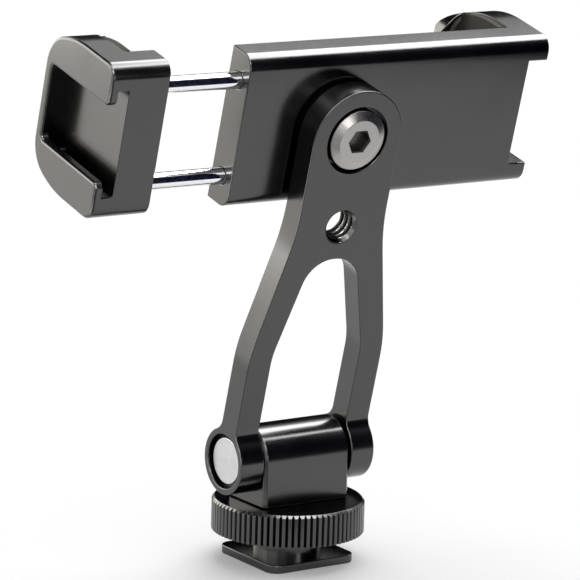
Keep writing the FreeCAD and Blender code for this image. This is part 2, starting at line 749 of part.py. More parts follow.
def make_sliding_jaw():
    """Sliding jaw with a shoe slot in its outer face: a wide pocket behind two lips."""
    body = new_body("sliding_jaw", leaning=True)
    plan = new_sketch(body, "sliding_plan", PLAN, PIVOT)
    draw_outline(plan, jaw_plan(number(JAW_LEFT), number(SLIDING_WALL), number(JAW_RIGHT), 1))
    extrude(body, plan, "Sizes.clamp_height + 1", symmetric=True)
    trim_to_side_view(body, "sliding_side")
    cut_hook_corners(body, "sliding_hook_corners", HOOK_FACE, "Sizes.hook_thickness",
                     number(SLIDING_WALL) + size("hook_reach"), 1, hook_half(), size("hook_corner"))
    middle = number(PIVOT)
    far = number(JAW_FAR) - size("slot_margin")
    mouth = new_sketch(body, "slot_mouth", SIDE, JAW_LEFT)
    draw_notch(mouth, far, middle, size("mouth_height") / 2, size("lip_end"))
    opened = cut(body, mouth, "Sizes.lip_thickness", along=True)
    left = number(JAW_LEFT)
    chamfer(body, opened, lambda p: abs(p.x - left) < NEAR, "Sizes.slot_edge")
    pocket = new_sketch(body, "slot_pocket", SIDE, f"{JAW_LEFT} + Sizes.lip_thickness")
    draw_notch(pocket, far, middle, size("slot_height") / 2)
    cut(body, pocket, "Sizes.slot_depth", along=True)
    seats = new_sketch(body, "rod_seats", SIDE, JAW_RIGHT)
    for side in ("+", "-"):
        draw_circle(seats, ROD_LINE, f"{PIVOT} {side} {ROD_OFFSET}", "Sizes.rod_radius")
    cut(body, seats, "Sizes.rod_seat")
    return body


def make_rod_parts(name, side):
    """Guide rod, the collar that stops it in its chamber, and the plug that closes the chamber."""
    height = f"{PIVOT} {side} {ROD_OFFSET}"
    stop_start = f"({LAND_END} + Sizes.stop_gap)"
    made = []
    rod = new_body(f"guide_rod_{name}", leaning=True)
    circle = new_sketch(rod, f"rod_{name}", SIDE, f"{JAW_RIGHT} - Sizes.rod_seat")
    draw_circle(circle, ROD_LINE, height, "Sizes.rod_radius")
    extrude(rod, circle, f"{stop_start} + Sizes.stop_length - {JAW_RIGHT} + Sizes.rod_seat")
    made.append(rod)
    stop = new_body(f"rod_stop_{name}", leaning=True)
    ring = new_sketch(stop, f"stop_{name}", SIDE, stop_start)
    draw_circle(ring, ROD_LINE, height, "Sizes.stop_radius")
    draw_circle(ring, ROD_LINE, height, "Sizes.rod_radius")
    extrude(stop, ring, "Sizes.stop_length")
    made.append(stop)
    plug = new_body(f"bore_plug_{name}", leaning=True)
    disc = new_sketch(plug, f"plug_{name}", SIDE, NOTCH_FLOOR)
    draw_circle(disc, ROD_LINE, height, "Sizes.stop_radius + Sizes.stop_gap")
    extrude(plug, disc, "Sizes.plug_length", backwards=True)
    made.append(plug)
    return made


pieces = [
    make_foot(),
    make_wheel(),
    make_block(),
    make_hinge_washer("hinge_washer_left", -1),
    make_hinge_washer("hinge_washer_right", 1),
    make_arm(),
    make_hinge_pin(),
    make_hinge_screw(),
    make_pivot_screw(),
    make_ring("spring_washer", "spring_washer_ring", f"{ARM_FACE} - Sizes.pivot_recess_depth",
              "Sizes.pivot_head_radius", "Sizes.pivot_radius + Sizes.run_gap",
              "Sizes.spring_washer", False),
    make_ring("friction_disc", "friction_disc_ring", f"-{ARM_FACE}", "Sizes.disc_radius",
              "Sizes.pivot_radius + Sizes.run_gap", "Sizes.disc_thickness", True),
    make_clamp_body(),
    make_front_pad(),
    make_jaw_pad("fixed_jaw_pad", FIXED_WALL, -1),
    make_sliding_jaw(),
    make_jaw_pad("sliding_jaw_pad", SLIDING_WALL, 1),
]
pieces += make_rod_parts("upper", "+")
pieces += make_rod_parts("lower", "-")

doc.recompute()
for item in doc.Objects:
    if "Invalid" in item.State or "Error" in item.State:
        raise RuntimeError(f"{item.Name} did not build: {item.State}")
for piece in pieces:
    if piece.Shape.isNull() or not piece.Shape.isValid():
        raise RuntimeError(f"{piece.Label} has no sound shape")

os.makedirs("parts", exist_ok=True)
for piece in pieces:
    piece.Shape.exportStep(f"parts/{piece.Label}.step")
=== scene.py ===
import logging
import math
from dataclasses import dataclass, field
from enum import Enum

import bmesh
import bpy
import numpy as np
from mathutils import Matrix, Vector


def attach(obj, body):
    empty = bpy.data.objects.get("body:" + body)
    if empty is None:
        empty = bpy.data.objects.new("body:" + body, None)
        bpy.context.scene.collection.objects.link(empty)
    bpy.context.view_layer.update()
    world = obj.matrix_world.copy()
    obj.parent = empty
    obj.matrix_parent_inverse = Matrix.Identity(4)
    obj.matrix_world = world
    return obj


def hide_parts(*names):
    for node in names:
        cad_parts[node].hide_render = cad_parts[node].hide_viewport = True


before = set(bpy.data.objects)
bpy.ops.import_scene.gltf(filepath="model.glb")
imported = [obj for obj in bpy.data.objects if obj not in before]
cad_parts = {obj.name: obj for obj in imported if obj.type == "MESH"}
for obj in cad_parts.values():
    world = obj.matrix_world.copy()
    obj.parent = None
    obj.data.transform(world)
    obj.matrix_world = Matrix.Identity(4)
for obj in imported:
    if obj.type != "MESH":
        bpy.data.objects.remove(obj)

LOG = logging.getLogger("phone_clamp")

Triple = tuple[float, float, float]
Socket = bpy.types.NodeSocket

MILLIMETRE = 0.001

# Attribute of a thread's mesh that sets its painted light: 0 gives painted shade, 1 a painted
# highlight.
PAINTED_LIGHT = "painted_light"

# Angle up to which new meshes are shaded smooth.
SMOOTH_ANGLE = math.radians(40)

# Range that holds nearly all values of a fractal noise.
NOISE_RANGE = (0.3, 0.7)

# Phase of a wave texture for each unit of distance at a scale of 1, in radians.
WAVE_RATE = 20.0

# Corners of a unit square about its middle.
SQUARE = np.array([[-0.5, -0.5], [0.5, -0.5], [0.5, 0.5], [-0.5, 0.5]])


class Carrier(Enum):
    """Rigid body that a piece moves with."""

    BASE = "base"
    WHEEL = "wheel"
    ARM = "arm"
    CLAMP = "clamp"
    JAW = "jaw"


class Slot(Enum):
    """Names of the material slots, one for each finish."""

    METAL = "anodised_metal"
    CHROME = "rod_chrome"
    STEEL = "screw_steel"
    JAW_RUBBER = "jaw_rubber"
    PAD_RUBBER = "pad_rubber"


class Spin(Enum):
    """Axis that turning marks run round, in the piece's own upright frame."""

    ALONG_X = "X"
    ALONG_Y = "Y"


@dataclass(frozen=True)
class Place:
    """Upright drawing frame of a sub-assembly, leaned about the X axis at a height.

    A point p drawn upright stands at R p + (0, 0, height), where R turns by lean about +X.
    """

    height: float = 0.0
    lean: float = 0.0

    def matrix(self) -> Matrix:
        """Returns the matrix from the upright frame to the row frame."""
        return Matrix.Translation((0.0, 0.0, self.height)) @ Matrix.Rotation(self.lean, 4, "X")

    def put(self, points: np.ndarray) -> np.ndarray:
        """Carries points from the upright frame to the row frame.

        Args:
            points: Array of points, three numbers in the last axis, in metres.

        Returns:
            The points in the row frame.
        """
        matrix = np.array(self.matrix())
        return points @ matrix[:3, :3].T + matrix[:3, 3]


UPRIGHT = Place()
LEANING = Place(height=19.55 * MILLIMETRE, lean=math.radians(14.7))


class NodeTree:
    """Small builder of shader nodes in one tree."""

    def __init__(self, tree: bpy.types.ShaderNodeTree) -> None:
        """Empties the tree.

        Args:
            tree: Node tree of a material or of the world.
        """
        self.tree = tree
        self.tree.nodes.clear()

    def add(self, kind: str, **settings: object) -> bpy.types.Node:
        """Adds a node and sets its own properties.

        Args:
            kind: Node type, such as ShaderNodeTexNoise.
            settings: Properties of the node by name.

        Returns:
            The new node.
        """
        node = self.tree.nodes.new(kind)
        for name, value in settings.items():
            setattr(node, name, value)
        return node

    def link(self, source: Socket, target: Socket) -> None:
        """Joins an output socket to an input socket."""
        self.tree.links.new(source, target)

    def background_rays(self) -> Socket:
        """Value that is 1 for rays that show the background.

        They are those from the camera, those in gloss and those through glass.

        Returns:
            The value socket.
        """
        path = self.add("ShaderNodeLightPath")
        value = path.outputs["Is Camera Ray"]
        for name in ("Is Glossy Ray", "Is Transmission Ray"):
            node = self.add("ShaderNodeMath", operation="MAXIMUM")
            self.link(value, node.inputs[0])
            self.link(path.outputs[name], node.inputs[1])
            value = node.outputs["Value"]
        return value


class MaterialTree(NodeTree):
    """Nodes of one new material."""

    def __init__(self, name: str) -> None:
        """Starts a material that has only its output.

        Args:
            name: Name of the material.
        """
        self.material = bpy.data.materials.new(name)
        self.material.use_nodes = True
        super().__init__(self.material.node_tree)
        self.output = self.add("ShaderNodeOutputMaterial")

    def coordinates(self, place: Place = UPRIGHT, centre: Triple = (0.0, 0.0, 0.0),
                    stretch: Triple = (1.0, 1.0, 1.0)) -> Socket:
        """Object coordinates in the upright frame of a sub-assembly, about a centre.

        Args:
            place: The sub-assembly's drawing frame.
            centre: Point in that frame that becomes the pattern's origin, in metres.
            stretch: Factor on each axis after the turn.

        Returns:
            The vector socket.
        """
        source = self.add("ShaderNodeTexCoord").outputs["Object"]
        inverse = place.matrix().inverted()
        turn = self.add("ShaderNodeMapping")
        turn.inputs["Rotation"].default_value = inverse.to_euler()
        turn.inputs["Location"].default_value = inverse.translation - Vector(centre)
        self.link(source, turn.inputs["Vector"])
        scale = self.add("ShaderNodeMapping")
        scale.inputs["Scale"].default_value = stretch
        self.link(turn.outputs["Vector"], scale.inputs["Vector"])
        return scale.outputs["Vector"]

    def noise(self, vector: Socket, grain: float, detail: float = 3.0,
              roughness: float = 0.5) -> Socket:
        """Fractal noise whose features are about one grain across.

        Args:
            vector: Coordinates in metres.
            grain: Size of a feature, in metres.
            detail: Octaves of the noise.
            roughness: Share of the finer octaves.

        Returns:
            The value socket, from 0 to 1.
        """
        node = self.add("ShaderNodeTexNoise")
        node.inputs["Scale"].default_value = 1.0 / grain
        node.inputs["Detail"].default_value = detail
        node.inputs["Roughness"].default_value = roughness
        self.link(vector, node.inputs["Vector"])
        return node.outputs["Fac"]

    def remap(self, value: Socket, low: float, high: float, from_low: float = 0.0,
              from_high: float = 1.0) -> Socket:
        """Carries a value linearly from one range to another, clamped.

        Args:
            value: Value socket.
            low: Result at from_low.
            high: Result at from_high.
            from_low: Start of the source range.
            from_high: End of the source range.

        Returns:
            The value socket.
        """
        node = self.add("ShaderNodeMapRange")
        node.inputs["From Min"].default_value = from_low
        node.inputs["From Max"].default_value = from_high
        node.inputs["To Min"].default_value = low
        node.inputs["To Max"].default_value = high
        self.link(value, node.inputs["Value"])
        return node.outputs["Result"]

    def vary(self, noise: Socket, low: float = 0.0, high: float = 1.0) -> Socket:
        """Carries the usual range of a noise to another, clamped.

        Args:
            noise: Noise socket.
            low: Result at the low end.
            high: Result at the high end.

        Returns:
            The value socket.
        """
        return self.remap(noise, low, high, *NOISE_RANGE)

    def mix(self, factor: Socket, first: Triple | Socket, second: Triple) -> Socket:
        """Mixes two colours by a factor.

        Args:
            factor: Value socket from 0 to 1.
            first: Colour at 0, as linear numbers or as a socket.
            second: Linear colour at 1.

        Returns:
            The colour socket.
        """
        node = self.add("ShaderNodeMix", data_type="RGBA")
        start, end = (socket for socket in node.inputs if socket.type == "RGBA")
        if isinstance(first, tuple):
            start.default_value = (*first, 1.0)
        else:
            self.link(first, start)
        end.default_value = (*second, 1.0)
        self.link(factor, node.inputs["Factor"])
        return next(socket for socket in node.outputs if socket.type == "RGBA")

    def bump(self, height: Socket, depth: float, strength: float) -> Socket:
        """Bends the normal by a height.

        Args:
            height: Height socket, from 0 to 1.
            depth: Distance that a height of 1 stands for, in metres.
            strength: Share of the effect.

        Returns:
            The normal socket.
        """
        node = self.add("ShaderNodeBump")
        node.inputs["Strength"].default_value = strength
        node.inputs["Distance"].default_value = depth
        self.link(height, node.inputs["Height"])
        return node.outputs["Normal"]

    def finish(self, shader: Socket) -> bpy.types.Material:
        """Ends the material in a shader.

        Args:
            shader: Shader socket.

        Returns:
            The finished material.
        """
        self.link(shader, self.output.inputs["Surface"])
        return self.material

    def surface(self, colour: Socket, roughness: Socket, normal: Socket,
                **constants: float) -> bpy.types.Material:
        """Ends the material in one Principled shader.

        Args:
            colour: Base colour socket.
            roughness: Roughness socket.
            normal: Normal socket.
            constants: Values for other inputs, with underscores for spaces.

        Returns:
            The finished material.
        """
        shader = self.add("ShaderNodeBsdfPrincipled")
        for name, value in constants.items():
            shader.inputs[name.replace("_", " ")].default_value = value
        self.link(colour, shader.inputs["Base Color"])
        self.link(roughness, shader.inputs["Roughness"])
        self.link(normal, shader.inputs["Normal"])
        return self.finish(shader.outputs["BSDF"])


@dataclass(frozen=True)
class BlastedMetal:
    """Graphite anodised aluminium, finely blasted before its dye went on."""

    name: str = "anodised_metal"
    dark: Triple = (0.080, 0.080, 0.082)
    light: Triple = (0.100, 0.099, 0.096)
    grain: float = 0.11 * MILLIMETRE
    depth: float = 0.003 * MILLIMETRE
    bite: float = 0.6
    cloud: float = 9.0 * MILLIMETRE
    smooth: float = 0.17
    rough: float = 0.22

    def build(self, place: Place = UPRIGHT) -> bpy.types.Material:
        """Builds the material: blasted grain in the normal and the tone, cloudy gloss.

        Args:
            place: Drawing frame of the piece, so that the grain stays with it.

        Returns:
            The material.
        """
        nodes = MaterialTree(self.name)
        vector = nodes.coordinates(place)
        grain = nodes.noise(vector, self.grain, detail=2.0)
        cloud = nodes.noise(vector, self.cloud, detail=4.0, roughness=0.55)
        colour = nodes.mix(nodes.vary(grain), self.dark, self.light)
        normal = nodes.bump(grain, self.depth, self.bite)
        return nodes.surface(colour, nodes.vary(cloud, self.smooth, self.rough), normal,
                             Metallic=1.0)


@dataclass(frozen=True)
class PolishedRod:
    """Hard chrome on a ground rod: fine marks round it under a mirror finish."""

    name: str = "rod_chrome"
    dark: Triple = (0.80, 0.81, 0.84)
    light: Triple = (0.90, 0.90, 0.91)
    cloud: float = 4.0 * MILLIMETRE
    pitch: float = 0.12 * MILLIMETRE
    draw_out: float = 0.06
    depth: float = 0.0004 * MILLIMETRE
    bite: float = 0.2
    smooth: float = 0.06
    rough: float = 0.16

    def build(self) -> bpy.types.Material:
        """Builds the material: noise drawn out across the rod into grinding marks.

        Returns:
            The material.
        """
        nodes = MaterialTree(self.name)
        across = nodes.coordinates(LEANING, stretch=(1.0, self.draw_out, self.draw_out))
        marks = nodes.noise(across, self.pitch, detail=2.0)
        cloud = nodes.noise(nodes.coordinates(LEANING), self.cloud)
        colour = nodes.mix(cloud, self.dark, self.light)
        normal = nodes.bump(marks, self.depth, self.bite)
        return nodes.surface(colour, nodes.vary(marks, self.smooth, self.rough), normal,
                             Metallic=1.0)


@dataclass(frozen=True)
class TurnedSteel:
    """Nickel plated steel with fine turning rings about an axis, with painted shade in its
    socket.

    Where there is a socket, painted shade starts to darken it at socket_start along the spin axis
    and is at its darkest socket_fade further on.
    """

    name: str
    place: Place
    centre: Triple
    spin: Spin
    socket_start: float | None = None
    socket_fade: float = 0.25 * MILLIMETRE
    dark: Triple = (0.55, 0.55, 0.56)
    light: Triple = (0.62, 0.62, 0.63)
    # Colour of the painted shade that darkens the socket.
    socket: Triple = (0.10, 0.098, 0.095)
    cloud: float = 1.3 * MILLIMETRE
    pitch: float = 0.3 * MILLIMETRE
    wander: float = 1.2
    detail: float = 2.0
    depth: float = 0.012 * MILLIMETRE
    bite: float = 0.8
    smooth: float = 0.2
    rough: float = 0.3

    def build(self) -> bpy.types.Material:
        """Builds the material: rings sin(2 pi r / pitch) broken up by noise, r from the axis.

        Returns:
            The material.
        """
        nodes = MaterialTree(self.name)
        vector = nodes.coordinates(self.place, self.centre)
        rings = nodes.add("ShaderNodeTexWave", wave_type="RINGS", rings_direction=self.spin.value)
        rings.inputs["Scale"].default_value = 2 * math.pi / WAVE_RATE / self.pitch
        rings.inputs["Distortion"].default_value = self.wander
        rings.inputs["Detail"].default_value = self.detail
        nodes.link(vector, rings.inputs["Vector"])
        cloud = nodes.noise(vector, self.cloud)
        colour = nodes.mix(cloud, self.dark, self.light)
        # Painted shade: the colour darkens inside the socket, along the spin axis.
        if self.socket_start is not None:
            parts = nodes.add("ShaderNodeSeparateXYZ")
            nodes.link(vector, parts.inputs["Vector"])
            inside = nodes.remap(parts.outputs[self.spin.value], 0.0, 1.0, self.socket_start,
                                 self.socket_start + self.socket_fade)
            colour = nodes.mix(inside, colour, self.socket)
        normal = nodes.bump(rings.outputs["Fac"], self.depth, self.bite)
        return nodes.surface(colour, nodes.vary(cloud, self.smooth, self.rough), normal,
                             Metallic=1.0)


@dataclass(frozen=True)
class ThreadMetal:
    """Anodised thread with painted shade in its roots, painted highlights on its crests and a
    lighter countersink.
    """

    name: str = "thread_metal"
    # Colours of the painted shade in the roots and the painted highlight on the crests; the
    # countersink gets a mix of both.
    painted_shade: Triple = (0.012, 0.012, 0.013)
    painted_light: Triple = (0.46, 0.455, 0.44)
    grain: float = 0.15 * MILLIMETRE
    depth: float = 0.001 * MILLIMETRE
    bite: float = 0.3
    smooth: float = 0.16
    rough: float = 0.24

    def build(self) -> bpy.types.Material:
        """Builds the material: the mesh's attribute mixes painted shade and painted highlight,
        noise varies the gloss.

        Returns:
            The material.
        """
        nodes = MaterialTree(self.name)
        crest_light = nodes.add("ShaderNodeAttribute", attribute_name=PAINTED_LIGHT)
        colour = nodes.mix(crest_light.outputs["Fac"], self.painted_shade, self.painted_light)
        grain = nodes.noise(nodes.coordinates(LEANING), self.grain)
        normal = nodes.bump(grain, self.depth, self.bite)
        return nodes.surface(colour, nodes.vary(grain, self.smooth, self.rough), normal,
                             Metallic=1.0)


@dataclass(frozen=True)
class MouldedRubber:
    """Dull moulded rubber with a fine pebbled skin.

    pebble is the spacing of the pebbles. Each is 1 high in its middle and 0 high from reach
    times the spacing outwards. The bloom is whole where its noise reaches dusty.
    """

    name: str
    dark: Triple
    light: Triple
    dust: float = 1.8 * MILLIMETRE
    dusty: float = 0.75
    pebble: float = 0.5 * MILLIMETRE
    roundness: float = 0.6
    reach: float = 0.8
    depth: float = 0.03 * MILLIMETRE
    bite: float = 0.6
    smooth: float = 0.72
    rough: float = 0.88
    shine: float = 0.15

    def build(self) -> bpy.types.Material:
        """Builds the material: rounded cells for the pebbles and fine noise for the bloom.

        Returns:
            The material.
        """
        nodes = MaterialTree(self.name)
        vector = nodes.coordinates(LEANING)
        cells = nodes.add("ShaderNodeTexVoronoi", feature="SMOOTH_F1")
        cells.inputs["Scale"].default_value = 1.0 / self.pebble
        cells.inputs["Smoothness"].default_value = self.roundness
        nodes.link(vector, cells.inputs["Vector"])
        dust = nodes.noise(vector, self.dust, detail=5.0)
        bloom = nodes.remap(dust, 0.0, 1.0, NOISE_RANGE[0], self.dusty)
        colour = nodes.mix(bloom, self.dark, self.light)
        height = nodes.remap(cells.outputs["Distance"], 1.0, 0.0, 0.0, self.reach)
        normal = nodes.bump(height, self.depth, self.bite)
        return nodes.surface(colour, nodes.vary(dust, self.smooth, self.rough), normal,
                             Specular_IOR_Level=self.shine)


@dataclass(frozen=True)
class SlickPlastic:
    """Dark bearing plastic of the washers and the friction disc."""

    name: str = "washer_plastic"
    dark: Triple = (0.018, 0.018, 0.019)
    light: Triple = (0.035, 0.035, 0.036)
    grain: float = 0.9 * MILLIMETRE
    depth: float = 0.004 * MILLIMETRE
    bite: float = 0.4
    smooth: float = 0.38
    rough: float = 0.5

    def build(self) -> bpy.types.Material:
        """Builds the material: an even dark tone with slight flow marks.

        Returns:
            The material.
        """
        nodes = MaterialTree(self.name)
        flow = nodes.noise(nodes.coordinates(LEANING), self.grain, detail=4.0)
        colour = nodes.mix(flow, self.dark, self.light)
        normal = nodes.bump(flow, self.depth, self.bite)
        return nodes.surface(colour, nodes.remap(flow, self.smooth, self.rough), normal)


@dataclass(frozen=True)
class RolledSpringSteel:
    """Dark spring steel with rolling streaks."""

    name: str = "spring_steel"
    dark: Triple = (0.20, 0.20, 0.21)
    light: Triple = (0.33, 0.33, 0.34)
    grain: float = 0.2 * MILLIMETRE
    draw_out: float = 0.08
    depth: float = 0.002 * MILLIMETRE
    bite: float = 0.5
    smooth: float = 0.25
    rough: float = 0.4

    def build(self) -> bpy.types.Material:
        """Builds the material: noise drawn out one way into streaks.

        Returns:
            The material.
        """
        nodes = MaterialTree(self.name)
        along = nodes.coordinates(LEANING, stretch=(1.0, 1.0, self.draw_out))
        streaks = nodes.noise(along, self.grain)
        colour = nodes.mix(streaks, self.dark, self.light)
        normal = nodes.bump(streaks, self.depth, self.bite)
        return nodes.surface(colour, nodes.remap(streaks, self.smooth, self.rough), normal,
                             Metallic=1.0)


def add_object(name: str, data: bpy.types.ID) -> bpy.types.Object:
    """Makes an object at the origin and links it to the scene.

    Args:
        name: Name of the object.
        data: Its mesh, camera or light.

    Returns:
        The object.
    """
    made = bpy.data.objects.new(name, data)
    bpy.context.scene.collection.objects.link(made)
    return made


def shade_by_angle(mesh: bpy.types.Mesh, angle: float) -> None:
    """Shades a mesh smooth, apart from edges sharper than an angle.

    Args:
        mesh: The mesh.
        angle: Largest angle that still counts as smooth, in radians.
    """
    mesh.polygons.foreach_set("use_smooth", np.ones(len(mesh.polygons), dtype=bool))
    mesh.set_sharp_from_angle(angle=angle)


def closed_grid(name: str, points: np.ndarray) -> bpy.types.Object:
    """Makes a piece from a grid of points that closes both ways, its faces outwards.

    Corner (i, j) is joined to (i + 1, j) and to (i, j + 1), and the last row and column to
    the first, so that each cell is one quadrilateral.

    Args:
        name: Name of the object.
        points: Array of rows by columns by three, in the row frame, in metres.

    Returns:
        The piece.
    """
    rows, columns = points.shape[:2]
    i, j = np.meshgrid(np.arange(rows), np.arange(columns), indexing="ij")
    below = (i + 1) % rows * columns
    beside = (j + 1) % columns
    quads = np.stack([i * columns + j, i * columns + beside, below + beside, below + j], axis=-1)
    mesh = bpy.data.meshes.new(name)
    mesh.from_pydata(points.reshape(-1, 3).tolist(), [], quads.reshape(-1, 4).tolist())
    work = bmesh.new()
    work.from_mesh(mesh)
    bmesh.ops.recalc_face_normals(work, faces=work.faces)
    work.to_mesh(mesh)
    work.free()
    shade_by_angle(mesh, SMOOTH_ANGLE)
    return add_object(name, mesh)


@dataclass(frozen=True)
class EdgeBreak:
    """Rounded edge break on a copy of a solid.

    width is the round's reach on each side, in metres, steps its number of facets, and sharp
    the smallest angle that gets it. Points nearer than seam become one, and so do neighbouring
    faces whose normals differ by less than flat.
    """

    width: float
    steps: int = 2
    sharp: float = math.radians(32)
    seam: float = 0.0005 * MILLIMETRE
    flat: float = math.radians(0.2)

    def copy(self, node: str, name: str) -> bpy.types.Object:
        """Copies a solid, merges its triangles and rounds its sharp convex edges.

        Args:
            node: Name of the solid.
            name: Name of the copy.

        Returns:
            The copy, which stands for the solid.
        """
        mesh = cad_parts[node].data.copy()
        mesh.name = name
        work = bmesh.new()
        work.from_mesh(mesh)
        bmesh.ops.remove_doubles(work, verts=work.verts, dist=self.seam)
        bmesh.ops.dissolve_limit(work, angle_limit=self.flat, verts=work.verts,
                                 edges=work.edges, delimit={"NORMAL"})
        weights = work.edges.layers.float.new("bevel_weight_edge")
        for edge in work.edges:
            outer = edge.is_manifold and edge.is_convex
            edge[weights] = float(outer and edge.calc_face_angle() > self.sharp)
        work.to_mesh(mesh)
        work.free()
        for layer in ("custom_normal", "sharp_face"):
            if layer in mesh.attributes:
                mesh.attributes.remove(mesh.attributes[layer])
        shade_by_angle(mesh, self.sharp)
        made = add_object(name, mesh)
        bevel = made.modifiers.new("edge_break", "BEVEL")
        bevel.width = self.width
        bevel.segments = self.steps
        bevel.limit_method = "WEIGHT"
        bevel.use_clamp_overlap = False
        bevel.harden_normals = True
        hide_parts(node)
        return made


@dataclass(frozen=True)
class CutThread:
    """Internal thread as a sleeve just inside a hole's wall.

    Round the hole by angle a and along it by s, the inner wall stands at the larger of two
    radii: root - depth * ridge, where ridge = (1 - cos(2 pi s / pitch - a)) / 2, and
    the countersink root - depth * e / lead, where e is the distance to the nearer end.
    The painted light is mouth_tone in the countersink and ridge ^ crest_light on the thread, so
    the roots get painted shade and the crests a painted highlight.
    """

    root: float = 3.17 * MILLIMETRE
    depth: float = 0.66 * MILLIMETRE
    pitch: float = 1.27 * MILLIMETRE
    lead: float = 0.62 * MILLIMETRE
    wall: float = 0.03 * MILLIMETRE
    mouth_tone: float = 0.45
    crest_light: int = 4
    around: int = 72
    per_turn: int = 16

    def build(self, name: str, start: Vector, along: Vector, length: float) -> bpy.types.Object:
        """Builds the sleeve.

        Args:
            name: Name of the object.
            start: Centre of the hole's mouth, in the row frame.
            along: Direction into the hole, any but the X axis.
            length: Length of thread, in metres.

        Returns:
            The sleeve.
        """
        steps = round(length / self.pitch * self.per_turn)
        s = np.linspace(0.0, length, steps + 1)[:, None]
        a = np.linspace(0.0, 2 * math.pi, self.around, endpoint=False)[None, :]
        ridge = 0.5 - 0.5 * np.cos(2 * math.pi * s / self.pitch - a)
        thread = self.root - self.depth * ridge
        countersink = self.root - self.depth * np.minimum(s, length - s) / self.lead
        inner = np.maximum(thread, countersink)
        outer = np.full_like(inner, self.root + self.wall)
        radius = np.concatenate([inner, outer[::-1]], axis=0)
        reach = np.concatenate([s, s[::-1]], axis=0) * np.ones_like(a)
        axis = np.array(along.normalized())
        side = np.cross(axis, (1.0, 0.0, 0.0))
        side /= np.linalg.norm(side)
        other = np.cross(axis, side)
        spoke = np.cos(a)[..., None] * side + np.sin(a)[..., None] * other
        points = np.array(start) + reach[..., None] * axis + radius[..., None] * spoke
        made = closed_grid(name, points)
        # Painted light: a highlight on the crests, shade in the roots and a middle tone in the
        # countersink.
        painted_light = np.where(countersink > thread, self.mouth_tone, ridge ** self.crest_light)
        layer = made.data.attributes.new(PAINTED_LIGHT, "FLOAT", "POINT")
        layer.data.foreach_set("value", np.concatenate([painted_light, painted_light[::-1]]).ravel())
        return made


@dataclass
class Assembly:
    """Base of the sub-assemblies: dresses its pieces and keeps the list of them."""

    place: Place
    carrier: Carrier
    built: list[str] = field(default_factory=list)

    def dress(self, piece: bpy.types.Object, material: bpy.types.Material, slot: Slot) -> None:
        """Gives a piece its material and the body that it rides on.

        Args:
            piece: The object.
            material: Its material.
            slot: Not used.
        """
        piece.data.materials.clear()
        piece.data.materials.append(material)
        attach(piece, self.carrier.value)
        self.built.append(piece.name)

    def dress_solid(self, node: str, material: bpy.types.Material) -> None:
        """Gives a solid of the frame its material and leaves its mesh alone.

        Args:
            node: Name of the solid.
            material: Its material.
        """
        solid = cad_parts[node]
        solid.data.materials.clear()
        solid.data.materials.append(material)
        self.built.append(node)

    def report(self) -> None:
        """Logs each piece of the sub-assembly."""
        for name in self.built:
            LOG.info("%s: %s", type(self).__name__, name)


@dataclass
class ShoeBase(Assembly):
    """Shoe foot with its threaded socket, and the knuckle block over it."""

    foot_edge: EdgeBreak = EdgeBreak(0.16 * MILLIMETRE)
    block_edge: EdgeBreak = EdgeBreak(0.14 * MILLIMETRE)
    socket_start: float = 0.02 * MILLIMETRE
    socket_length: float = 7.9 * MILLIMETRE

    def build(self, metal: bpy.types.Material) -> None:
        """Builds the foot, the block and the socket's thread.

        Args:
            metal: The anodised finish.
        """
        self.dress(self.foot_edge.copy("foot", "shoe_foot"), metal, Slot.METAL)
        self.dress(self.block_edge.copy("base_block", "knuckle_block"), metal, Slot.METAL)
        thread = CutThread().build("socket_thread", Vector((0, 0, self.socket_start)),
                                   Vector((0, 0, 1)), self.socket_length)
        self.dress(thread, metal, Slot.METAL)


@dataclass
class LockingWheel(Assembly):
    """Knurled wheel that locks the foot in a shoe."""

    edge: EdgeBreak = EdgeBreak(0.05 * MILLIMETRE, steps=1, sharp=math.radians(25))

    def build(self, metal: bpy.types.Material) -> None:
        """Builds the wheel.

        Args:
            metal: The anodised finish.
        """
        self.dress(self.edge.copy("knurled_wheel", "wheel"), metal, Slot.METAL)


@dataclass
class TiltingArm(Assembly):
    """Forked arm with its eyes, hinge pin, hinge screw, washers and threaded hole.

    hole_height is measured upright from the hinge, and thread_inset is how far the thread
    stays inside each face of the arm.
    """

    arm_edge: EdgeBreak = EdgeBreak(0.2 * MILLIMETRE, steps=3)
    steel_edge: EdgeBreak = EdgeBreak(0.1 * MILLIMETRE)
    hole_height: float = 46.0 * MILLIMETRE
    thickness: float = 4.8 * MILLIMETRE
    thread_inset: float = 0.04 * MILLIMETRE
    # Painted shade in the hinge screw's socket starts at socket_start along its axis and fades in
    # over socket_fade.
    socket_start: float = 13.6 * MILLIMETRE
    socket_fade: float = -0.3 * MILLIMETRE

    def build(self, metal: bpy.types.Material, plastic: bpy.types.Material) -> None:
        """Builds the arm and the pieces of its hinge.

        Args:
            metal: The anodised finish.
            plastic: The washers' finish.
        """
        self.dress(self.arm_edge.copy("arm", "forked_arm"), metal, Slot.METAL)
        self.build_thread()
        hinge = (0.0, 0.0, 0.0)
        pin = self.steel_edge.copy("hinge_pin", "pin")
        steel = TurnedSteel("pin_steel", self.place, hinge, Spin.ALONG_X)
        self.dress(pin, steel.build(), Slot.STEEL)
        screw = self.steel_edge.copy("hinge_screw", "pin_screw")
        steel = TurnedSteel("hinge_steel", self.place, hinge, Spin.ALONG_X,
                            socket_start=self.socket_start, socket_fade=self.socket_fade)
        self.dress(screw, steel.build(), Slot.STEEL)
        for node in ("hinge_washer_left", "hinge_washer_right"):
            self.dress_solid(node, plastic)

    def build_thread(self) -> None:
        """Lines the hole between the window and the pivot with its thread."""
        face = self.thread_inset - self.thickness / 2
        mouth = self.place.put(np.array([0.0, face, self.hole_height]))
        inwards = self.place.matrix().to_3x3() @ Vector((0, 1, 0))
        thread = CutThread().build("arm_thread", Vector(mouth), inwards,
                                   self.thickness - 2 * self.thread_inset)
        self.dress(thread, ThreadMetal().build(), Slot.METAL)


